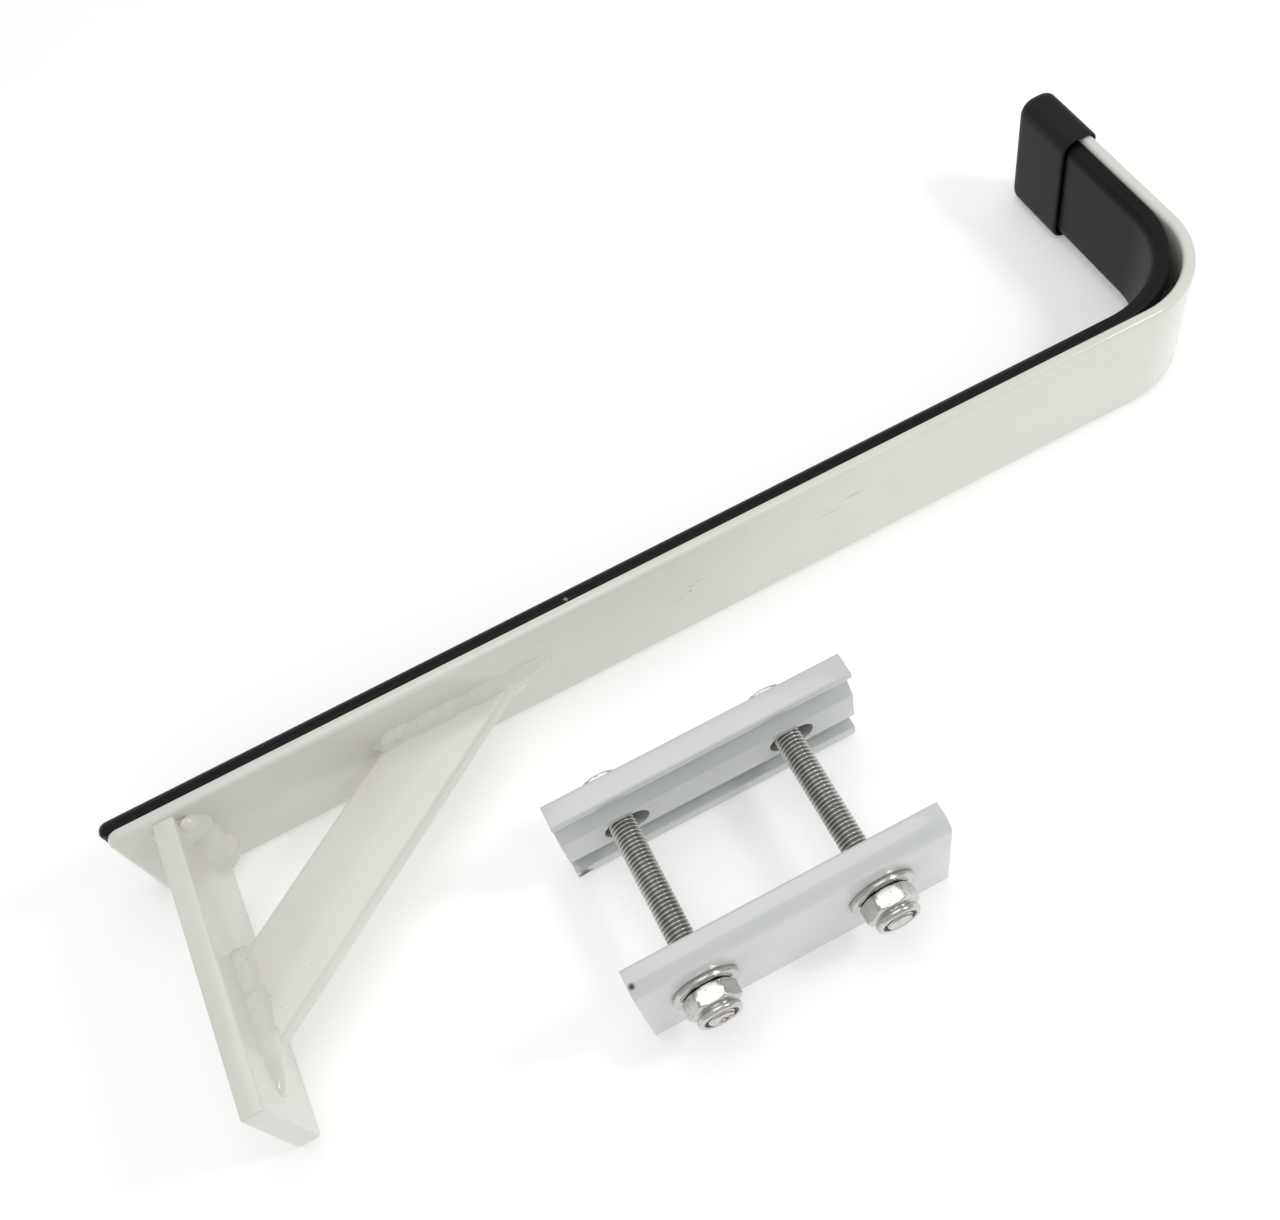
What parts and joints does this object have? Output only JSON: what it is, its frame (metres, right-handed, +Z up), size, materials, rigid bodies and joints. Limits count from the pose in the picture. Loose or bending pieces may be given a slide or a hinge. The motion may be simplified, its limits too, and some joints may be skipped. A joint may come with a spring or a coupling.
{
  "type": "ladder stabilizer",
  "caption": "Wall-hook ladder stabilizer: a rubber-faced hook arm with a braced foot bar and a capped tip, and a loose bolted clamp of slotted plates for the ladder stile.",
  "frame": {"origin": "under the middle of the whole part's box, on the surface that it stands on", "axes": "+X along the long bar towards the hook, +Y the way the hook leg points, +Z up from the surface that the arm lies on"},
  "size_m": [0.4654, 0.2716, 0.054],
  "materials": {
    "arm_coat": "gloss cream-white powder coat",
    "clamp_coat": "gloss cool white powder coat",
    "strip_rubber": "satin black",
    "cap_rubber": "satin black",
    "stainless": "polished stainless",
    "black_nylon": "matt black"
  },
  "bodies": {
    "arm": {"hook_bar": "arm_coat", "foot_bar": "arm_coat", "brace_bar": "arm_coat", "weld_foot_inner": "arm_coat", "weld_foot_outer": "arm_coat", "weld_brace_bar_upper": "arm_coat", "weld_brace_bar_lower": "arm_coat", "weld_brace_foot_upper": "arm_coat", "weld_brace_foot_lower": "arm_coat", "pad_strip": "strip_rubber"},
    "cap": {"tip_cap": "cap_rubber"},
    "rear_jaw": {"back_plate": "clamp_coat"},
    "front_jaw": {"front_plate": "clamp_coat"},
    "left_bolt": {"bolt_left": "stainless", "head_washer_left": "stainless"},
    "left_washer": {"nut_washer_left": "stainless"},
    "left_nut": {"nut_left": "stainless", "nylon_ring_left": "black_nylon"},
    "right_bolt": {"bolt_right": "stainless", "head_washer_right": "stainless"},
    "right_washer": {"nut_washer_right": "stainless"},
    "right_nut": {"nut_right": "stainless", "nylon_ring_right": "black_nylon"}
  },
  "joints": [
    {"name": "cap_pull", "type": "slide", "parent": "arm", "child": "cap", "axis": [0, 1, 0], "range_m": [0, 0.04]},
    {"name": "clamp_place", "type": "slide", "parent": "arm", "child": "rear_jaw", "axis": [1, 0, 0], "range_m": [0, 0.15]},
    {"name": "jaw_close", "type": "slide", "parent": "rear_jaw", "child": "front_jaw", "axis": [0, 1, 0], "range_m": [0, 0.048]},
    {"name": "left_bolt_slot", "type": "slide", "parent": "rear_jaw", "child": "left_bolt", "axis": [1, 0, 0], "range_m": [-0.0015, 0.0045]},
    {"name": "right_bolt_slot", "type": "slide", "parent": "rear_jaw", "child": "right_bolt", "axis": [1, 0, 0], "range_m": [-0.002, 0.004]},
    {"name": "left_washer_slide", "type": "slide", "parent": "left_bolt", "child": "left_washer", "axis": [0, 1, 0], "range_m": [0, 0.048]},
    {"name": "left_nut_spin", "type": "hinge", "parent": "left_washer", "child": "left_nut", "pos_m": [-0.06885, -0.1305, 0.0259], "axis": [0, 1, 0], "range_deg": [0, 11520]},
    {"name": "right_washer_slide", "type": "slide", "parent": "right_bolt", "child": "right_washer", "axis": [0, 1, 0], "range_m": [0, 0.048]},
    {"name": "right_nut_spin", "type": "hinge", "parent": "right_washer", "child": "right_nut", "pos_m": [-0.00385, -0.1305, 0.0259], "axis": [0, 1, 0], "range_deg": [0, 11520]}
  ],
  "couplings": [
    {"joint": "left_washer_slide", "follows": "jaw_close", "ratio": 1},
    {"joint": "left_nut_spin", "follows": "jaw_close", "rad_per_m": 4188.8},
    {"joint": "right_washer_slide", "follows": "jaw_close", "ratio": 1},
    {"joint": "right_nut_spin", "follows": "jaw_close", "rad_per_m": 4188.8}
  ]
}
